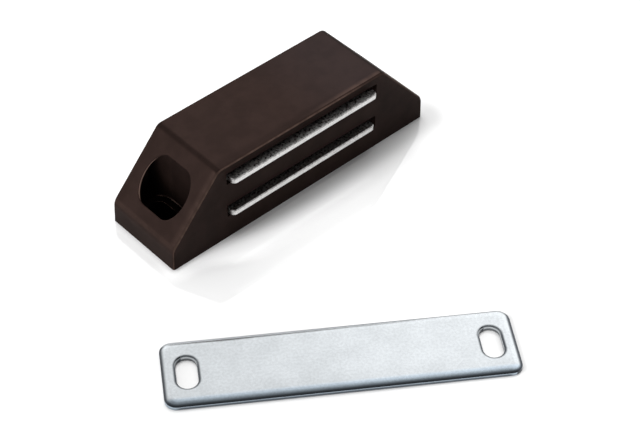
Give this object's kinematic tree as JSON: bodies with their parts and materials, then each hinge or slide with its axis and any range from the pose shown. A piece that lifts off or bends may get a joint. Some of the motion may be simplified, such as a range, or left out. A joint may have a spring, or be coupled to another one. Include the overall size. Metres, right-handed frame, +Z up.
{
  "type": "magnetic catch",
  "caption": "Screw-on magnetic cupboard catch: dark moulded housing with sloping screw ends and a floating magnet pack, beside its flat steel strike plate.",
  "frame": {"origin": "centre of the housing's flat base", "axes": "+X along the housing, -Y to the side on which the pole plates stand out, +Z up from the base"},
  "size_m": [0.0625, 0.0563, 0.0131],
  "materials": {
    "brown_plastic": "moulded, satin",
    "ferrite": "sintered, dull dark grey",
    "pole_steel": "zinc plated, sheared edges",
    "strike_steel": "zinc plated, smooth"
  },
  "bodies": {
    "housing_and_strike": {"housing": "brown_plastic", "strike_plate": "strike_steel"},
    "magnet_pack": {"magnet": "ferrite", "upper_pole_plate": "pole_steel", "lower_pole_plate": "pole_steel"}
  },
  "joints": [
    {"name": "pack_push", "type": "slide", "parent": "housing_and_strike", "child": "magnet_pack", "axis": [0, 1, 0], "range_m": [0, 0.0006]}
  ]
}
